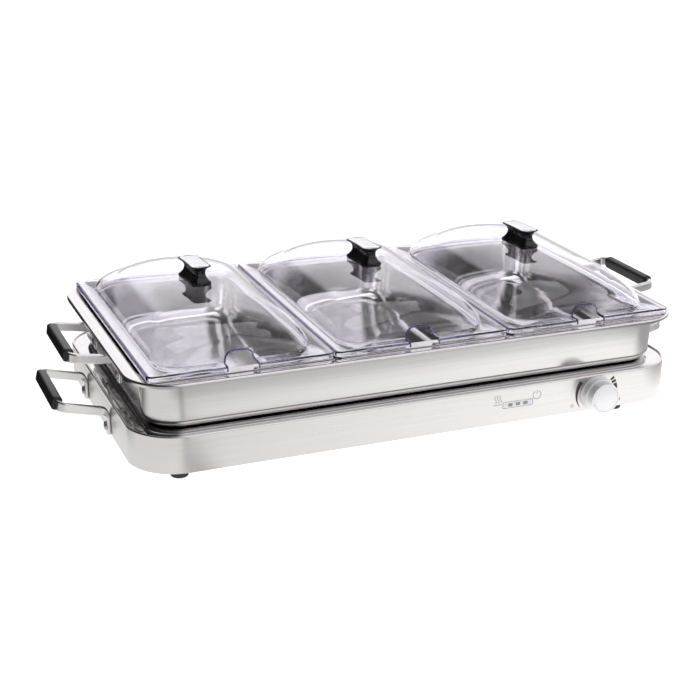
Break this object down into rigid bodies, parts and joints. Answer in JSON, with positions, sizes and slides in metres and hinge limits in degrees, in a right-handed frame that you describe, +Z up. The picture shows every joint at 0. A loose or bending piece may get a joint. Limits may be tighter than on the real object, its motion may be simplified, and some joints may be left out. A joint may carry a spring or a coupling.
{
  "type": "electric buffet server",
  "caption": "Heated rectangular base with a lift-off carrier, lift-out pans and clear domed lids, side handles and a rotary heat control.",
  "frame": {"origin": "on the ground plane, under the middle of the whole object's outer box", "axes": "+X along the length, to the right seen from the control knob's side; -Y towards that front side; +Z up"},
  "size_m": [0.6736, 0.3522, 0.1575],
  "materials": {
    "brushed_steel": "fine straight brushing, satin",
    "polished_steel": "polished stainless steel, near mirror",
    "plated_steel": "zinc-plated, semi-bright",
    "satin_metal": "satin, lightly brushed",
    "clear_plastic": "clear moulded plastic, faint violet at the edges, glossy",
    "black_plastic": "glossy black",
    "black_grip": "soft matt black sleeve",
    "black_rubber": "matt black rubber",
    "lens": "smoked, glossy",
    "white_ceramic": "off-white, matt"
  },
  "bodies": {
    "base": {"base_band": "brushed_steel", "warming_plate": "polished_steel", "bottom_cover": "plated_steel", "foot_front_left": "black_rubber", "foot_front_right": "black_rubber", "foot_rear_left": "black_rubber", "foot_rear_right": "black_rubber", "foot_screw_front_left": "plated_steel", "foot_screw_front_right": "plated_steel", "foot_screw_rear_left": "plated_steel", "foot_screw_rear_right": "plated_steel", "heating_element": "plated_steel", "element_clamp_left": "plated_steel", "element_clamp_right": "plated_steel", "reflector_plate": "plated_steel", "thermostat_body": "white_ceramic", "thermostat_bracket": "plated_steel", "thermal_fuse": "plated_steel", "indicator_lens": "lens", "indicator_lamp": "white_ceramic", "terminal_block": "white_ceramic", "cord_gland": "black_plastic", "knob_bezel": "satin_metal", "base_handle_left": "satin_metal", "base_handle_right": "satin_metal", "base_grip_left": "black_grip", "base_grip_right": "black_grip", "base_screw_left_front": "plated_steel", "base_screw_left_rear": "plated_steel", "base_screw_right_front": "plated_steel", "base_screw_right_rear": "plated_steel"},
    "knob": {"control_knob": "satin_metal", "knob_cap": "satin_metal", "thermostat_shaft": "plated_steel"},
    "carrier": {"carrier_tray": "brushed_steel", "carrier_handle_left": "satin_metal", "carrier_handle_right": "satin_metal", "carrier_grip_left": "black_grip", "carrier_grip_right": "black_grip", "carrier_screw_left_front": "plated_steel", "carrier_screw_left_rear": "plated_steel", "carrier_screw_right_front": "plated_steel", "carrier_screw_right_rear": "plated_steel"},
    "pan_1": {"pan_1": "polished_steel"},
    "pan_2": {"pan_2": "polished_steel"},
    "pan_3": {"pan_3": "polished_steel"},
    "lid_1": {"lid_1": "clear_plastic", "lid_knob_1": "black_plastic", "lid_knob_cap_1": "satin_metal", "lid_knob_screw_1": "plated_steel"},
    "lid_2": {"lid_2": "clear_plastic", "lid_knob_2": "black_plastic", "lid_knob_cap_2": "satin_metal", "lid_knob_screw_2": "plated_steel"},
    "lid_3": {"lid_3": "clear_plastic", "lid_knob_3": "black_plastic", "lid_knob_cap_3": "satin_metal", "lid_knob_screw_3": "plated_steel"}
  },
  "joints": [
    {"name": "knob_turn", "type": "hinge", "parent": "base", "child": "knob", "pos_m": [0.1854, -0.15655, 0.0258], "axis": [0, 1, 0], "range_deg": [0, 219]},
    {"name": "carrier_lift", "type": "slide", "parent": "base", "child": "carrier", "axis": [0, 0, 1], "range_m": [0, 0.1]},
    {"name": "pan_1_lift", "type": "slide", "parent": "carrier", "child": "pan_1", "axis": [0, 0, 1], "range_m": [0, 0.1]},
    {"name": "lid_1_lift", "type": "slide", "parent": "pan_1", "child": "lid_1", "axis": [0, 0, 1], "range_m": [0, 0.1]},
    {"name": "pan_2_lift", "type": "slide", "parent": "carrier", "child": "pan_2", "axis": [0, 0, 1], "range_m": [0, 0.1]},
    {"name": "lid_2_lift", "type": "slide", "parent": "pan_2", "child": "lid_2", "axis": [0, 0, 1], "range_m": [0, 0.1]},
    {"name": "pan_3_lift", "type": "slide", "parent": "carrier", "child": "pan_3", "axis": [0, 0, 1], "range_m": [0, 0.1]},
    {"name": "lid_3_lift", "type": "slide", "parent": "pan_3", "child": "lid_3", "axis": [0, 0, 1], "range_m": [0, 0.1]}
  ]
}
